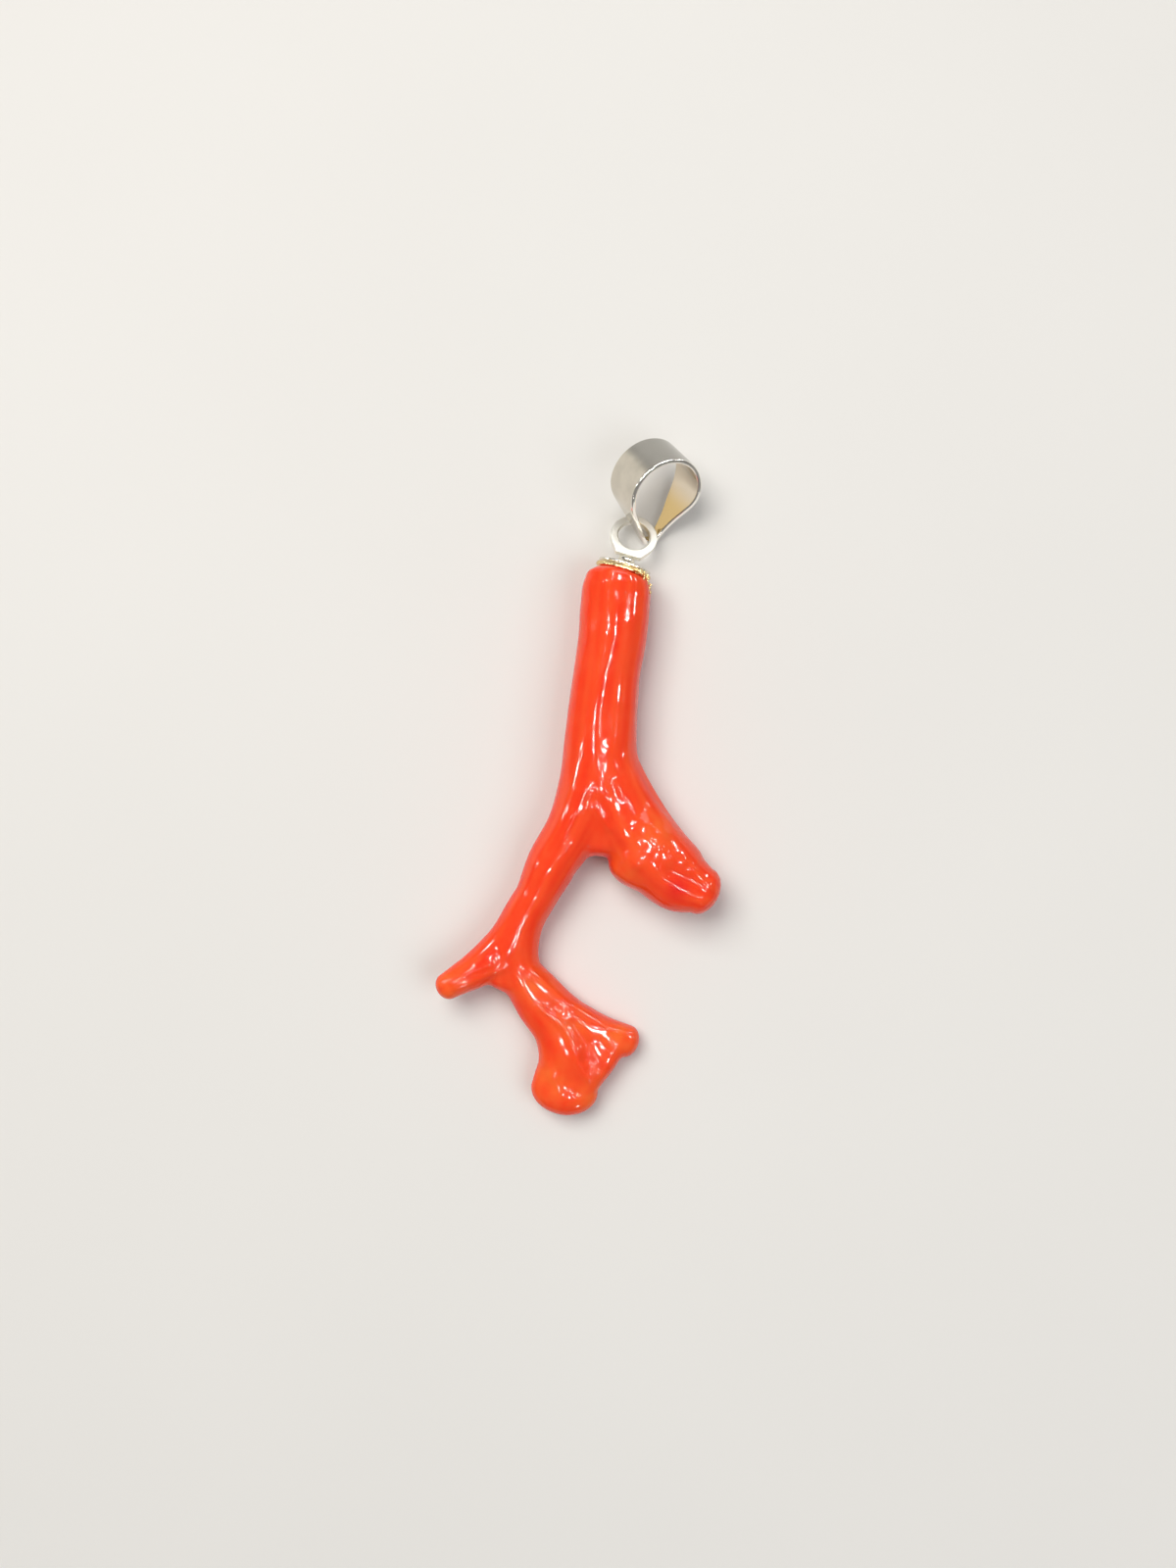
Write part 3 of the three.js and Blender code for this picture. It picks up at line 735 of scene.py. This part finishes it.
def build_grains():
    line = through(np.array(GRAIN_LINE) + BRANCH_ORIGIN, LINE_STEP)
    mesh = bmesh.new()
    for at in rng.choice(line, GRAINS) + rng.normal(0, GRAIN_SPREAD, (GRAINS, 3)):
        ball = bmesh.ops.create_icosphere(mesh, subdivisions=2, radius=rng.uniform(*GRAIN_RADII))
        bmesh.ops.translate(mesh, verts=ball["verts"], vec=at)
    points = [v.co[:] for v in mesh.verts]
    faces = [[v.index for v in f.verts] for f in mesh.faces]
    mesh.free()
    grains = mesh_object("cap_grains", points, faces, silver_material("gilding", GOLD, GILDING_ROUGHNESS))
    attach(grains, "pendant")


def eye_reach(angle):
    """The eye's outline from the ring's centre: round, with a straight foot below."""
    shoulder = EYE_OUTER * np.array([math.sin(EYE_SHOULDER), -math.cos(EYE_SHOULDER)])
    corner = np.array([EYE_FOOT_HALF, -EYE_CENTRE])
    lean = math.atan2(*(shoulder - corner)[::-1]) - math.pi / 2
    side = corner @ [math.cos(lean), math.sin(lean)]
    from_foot = abs((angle + math.pi / 2 + math.pi) % (2 * math.pi) - math.pi)
    if from_foot > EYE_SHOULDER:
        return EYE_OUTER
    return min(EYE_CENTRE / math.cos(from_foot), side / math.cos(from_foot - math.pi / 2 - lean))


def build_eye():
    rings = []
    for angle in np.linspace(0, 2 * math.pi, EYE_SIDES, endpoint=False):
        reach = eye_reach(angle)
        section = rounded_section(EYE_THICKNESS / 2, (reach - EYE_HOLE) / 2, EYE_EDGE)
        out = np.array([math.cos(angle), math.sin(angle), 0])
        middle = [0, EYE_CENTRE, 0] + (reach + EYE_HOLE) / 2 * out
        rings.append(middle + section[:, :1] * UP + section[:, 1:] * out)
    points, faces = join_rings(rings)
    stand = Matrix.Translation(Vector((0, EYE_UP * MM, 0))) @ Matrix.Rotation(EYE_DIP, 4, "X")
    silver = silver_material("eye_silver", EYE_SILVER, EYE_ROUGHNESS)
    eye = mesh_object("eye_ring", points, faces, silver, fitting_matrix() @ stand)
    merge_points(eye)
    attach(eye, "pendant")
    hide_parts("eye")


FLOOR_HALF, FLOOR_LEVEL = 1500, -0.02
FLOOR_TONES = ((0.74, 0.73, 0.71, 1), (0.78, 0.77, 0.75, 1))
FLOOR_PITCH, FLOOR_ROUGHNESS = 0.02, 0.8


def build_stage():
    material, tree, shader = new_material("pale_floor")
    colour = mix(tree, noise(tree, FLOOR_PITCH), *FLOOR_TONES)
    tree.links.new(colour, shader.inputs["Base Color"])
    shader.inputs["Roughness"].default_value = FLOOR_ROUGHNESS
    corners = [
        (x * FLOOR_HALF, y * FLOOR_HALF, FLOOR_LEVEL) for x, y in ((-1, -1), (1, -1), (1, 1), (-1, 1))]
    mesh_object("floor", corners, [(0, 1, 2, 3)], material)


# The camera looks straight down, over the middle of the photograph.
CAMERA_AT = np.array([0.833, -0.458, 150.0]) + BRANCH_ORIGIN * [1, 1, 0]
VIEW_HEIGHT = 133.3  # millimetres seen from top to bottom, at VIEW_LEVEL above the floor
VIEW_LEVEL = 3.0
SENSOR = 36.0
CLIP = (0.005, 10)  # metres


def build_camera():
    data = bpy.data.cameras.new("camera")
    data.sensor_width = SENSOR
    data.lens = SENSOR * (CAMERA_AT[2] - VIEW_LEVEL) / VIEW_HEIGHT
    data.clip_start, data.clip_end = CLIP
    camera = bpy.data.objects.new("camera", data)
    camera.location = Vector(CAMERA_AT * MM)
    bpy.context.scene.collection.objects.link(camera)
    bpy.context.scene.camera = camera


def area_light(name, at, size, radiance, colour=(1, 1, 1), mirrored=True, lights=True):
    """A flat light of size (across, up) at a place in millimetres, turned to the middle of the part.

    One that isn't mirrored is not seen in the polish, and one that doesn't light only glints there.
    """
    across, up = (x * MM for x in size)
    data = bpy.data.lights.new(name, "AREA")
    data.shape, data.size, data.size_y, data.color = "RECTANGLE", across, up, colour
    data.energy = math.pi * across * up * radiance
    light = bpy.data.objects.new(name, data)
    back = Vector(at).normalized()
    right = Vector((0, 1, 0)).cross(back).normalized()
    turn = Matrix((right, back.cross(right), back)).transposed().to_4x4()
    light.matrix_world = Matrix.Translation(Vector(at) * MM) @ turn
    light.visible_glossy, light.visible_diffuse = mirrored, lights
    bpy.context.scene.collection.objects.link(light)


# Small lamps that glint on the polish. Each row is a place on the coral, the leans in degrees (to +X, then
# to +Y) of the surface that mirrors a lamp to the camera there, the lamps' size and their radiance.
LAMP_SIZE, LAMP_RADIANCE = (16, 16), 80
GLINTS = (
    ((3.3, 16.8, 5.4), [(lean, 12) for lean in (-33, -22, -11, 0, 11, 22, 33)], LAMP_SIZE, LAMP_RADIANCE),
    ((2.8, 10.9, 5.8), [(lean, 0) for lean in (-33, -8, 6, 19, 32)], (34, 8), LAMP_RADIANCE),
    ((1.9, 3.3, 5.9), [(lean, 0) for lean in (-27, -7, 5)], (26, 7), 70),
    ((6.0, -4.7, 5.9), [(0, 0), (9, -6)], LAMP_SIZE, LAMP_RADIANCE),
    ((-4.6, -12.6, 4.0), [(-3, -5), (12, 0)], LAMP_SIZE, LAMP_RADIANCE),
    ((-8.2, -16.4, 4.1), [(0, 0), (15, -26)], LAMP_SIZE, LAMP_RADIANCE),
    ((-1.5, -20.5, 3.3), [(3, -2)], LAMP_SIZE, LAMP_RADIANCE),
)
LAMP_AWAY = 300.0  # from the coral to a lamp

# Soft lights: (place, size, radiance, colour). The back card only whitens the eye and the cap.
KEY = ((-160, 190, 430), (320, 320), 6.5, (1.0, 0.97, 0.92))
FILL = ((240, -120, 380), (300, 300), 2.4, (0.95, 0.97, 1.0))
BACK_CARD = ((70, 240, 205), (220, 160), 3, (1, 1, 1))
WORLD_COLOUR, WORLD_STRENGTH = (0.5, 0.49, 0.47, 1), 0.42


def lamp_place(place, lean_x, lean_y):
    """Where a lamp hangs to be seen mirrored at a place on the coral."""
    at = np.array(place) + BRANCH_ORIGIN
    lean_x, lean_y = math.radians(lean_x), math.radians(lean_y)
    normal = np.array([
        math.sin(lean_x) * math.cos(lean_y), math.sin(lean_y), math.cos(lean_x) * math.cos(lean_y)])
    view = unit(CAMERA_AT - at)
    return at + LAMP_AWAY * (2 * (normal @ view) * normal - view)


def build_light():
    area_light("key", *KEY, mirrored=False)
    area_light("fill", *FILL, mirrored=False)
    area_light("back_card", *BACK_CARD, lights=False)
    for row, (place, leans, size, radiance) in enumerate(GLINTS):
        for n, lean in enumerate(leans):
            area_light(f"lamp_{row}_{n}", lamp_place(place, *lean), size, radiance, lights=False)
    world = bpy.data.worlds.new("studio")
    world.use_nodes = True
    background = world.node_tree.nodes["Background"]
    background.inputs["Color"].default_value = WORLD_COLOUR
    background.inputs["Strength"].default_value = WORLD_STRENGTH
    bpy.context.scene.world = world


build_camera()
build_light()
build_stage()
build_coral()
build_bail()
build_cap()
build_grains()
build_eye()
bpy.context.scene.view_settings.view_transform = "Standard"
